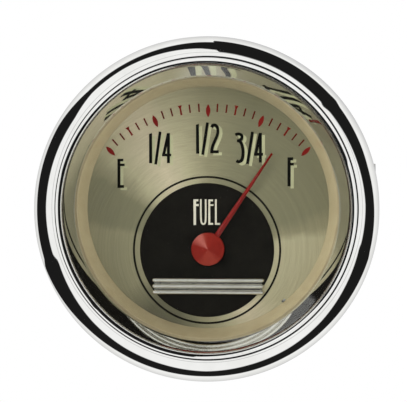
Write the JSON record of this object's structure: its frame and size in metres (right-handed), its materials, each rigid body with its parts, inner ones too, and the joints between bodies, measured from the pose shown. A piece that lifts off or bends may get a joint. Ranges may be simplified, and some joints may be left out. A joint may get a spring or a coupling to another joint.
{
  "type": "fuel gauge",
  "caption": "Round dashboard fuel gauge with a deep polished bezel, brushed dial, red pointer and clamp bracket.",
  "frame": {"origin": "centre of the bezel's seat, on the axis of the case's barrel, in the plane of the panel's front", "axes": "dial faces -Y, the case's barrel runs back along +Y, and the top of the dial is +Z"},
  "size_m": [0.0604, 0.0697, 0.0604],
  "materials": {
    "polished_steel": "mirror-polished stainless sheet",
    "clear_glass": "clear flat glass",
    "black_rubber": "matt black rubber",
    "tan_paint": "satin tan enamel",
    "brushed_nickel": "nickel brushed in circles round the pointer, lacquered",
    "polished_trim": "polished",
    "red_paint": "gloss red enamel",
    "red_hub": "satin red plastic",
    "bright_steel": "bright steel",
    "magnet": "sintered magnet",
    "zinc_plate": "bright zinc plate",
    "bobbin_plastic": "moulded, ivory",
    "copper_winding": "enamelled copper wire",
    "brass": "plain brass",
    "shield_steel": "drawn mild steel",
    "case_steel": "drawn steel, dull zinc plate",
    "fibre_insulator": "red-brown laminate",
    "bracket_steel": "zinc plated strip",
    "socket_steel": "tin plated spring steel",
    "bulb_glass": "clear blown glass"
  },
  "bodies": {
    "case": {"bezel": "polished_steel", "lens": "clear_glass", "lens_gasket": "black_rubber", "spacer_ring": "tan_paint", "dial_plate": "brushed_nickel", "dial_trim_bar": "polished_trim", "movement_plate": "zinc_plate", "plate_screws": "bright_steel", "frame_posts": "zinc_plate", "bobbin_front": "bobbin_plastic", "bobbin_rear": "bobbin_plastic", "bobbin_screws": "bright_steel", "coil_inner": "copper_winding", "coil_outer": "copper_winding", "front_bushing": "brass", "rear_bushing": "brass", "shield_cup": "shield_steel", "case_cup": "case_steel", "terminal_studs": "brass", "terminal_bushes": "fibre_insulator", "terminal_insulators": "fibre_insulator", "terminal_washers": "zinc_plate", "terminal_nuts": "brass", "mounting_studs": "zinc_plate", "stud_nuts": "zinc_plate"},
    "pointer": {"pointer_blade": "red_paint", "pointer_hub": "red_hub", "pointer_spindle": "bright_steel", "rotor_magnet": "magnet"},
    "clamp": {"clamp_bracket": "bracket_steel", "clamp_washers": "zinc_plate"},
    "thumb_nut_left": {"thumb_nut_left": "brass"},
    "thumb_nut_right": {"thumb_nut_right": "brass"},
    "lamp": {"lamp_socket": "socket_steel", "lamp_insulator": "fibre_insulator", "lamp_spade": "brass", "lamp_cap": "brass", "lamp_bulb": "bulb_glass"}
  },
  "joints": [
    {"name": "pointer_sweep", "type": "hinge", "parent": "case", "child": "pointer", "pos_m": [0, 0, -0.0073], "axis": [0, 1, 0], "range_deg": [-80.75, 13.25]},
    {"name": "clamp_slide", "type": "slide", "parent": "case", "child": "clamp", "axis": [0, 1, 0], "range_m": [-0.0045, 0.0045]},
    {"name": "thumb_nut_left_turn", "type": "hinge", "parent": "clamp", "child": "thumb_nut_left", "pos_m": [-0.014, 0.05, 0], "axis": [0, 1, 0], "range_deg": [-2042, 2042]},
    {"name": "thumb_nut_right_turn", "type": "hinge", "parent": "clamp", "child": "thumb_nut_right", "pos_m": [0.014, 0.05, 0], "axis": [0, 1, 0], "range_deg": [-2042, 2042]},
    {"name": "lamp_pull", "type": "slide", "parent": "case", "child": "lamp", "axis": [0, 1, 0], "range_m": [0, 0.03]}
  ],
  "couplings": [
    {"joint": "thumb_nut_left_turn", "follows": "clamp_slide", "rad_per_m": 7915.8},
    {"joint": "thumb_nut_right_turn", "follows": "clamp_slide", "rad_per_m": 7915.8}
  ]
}
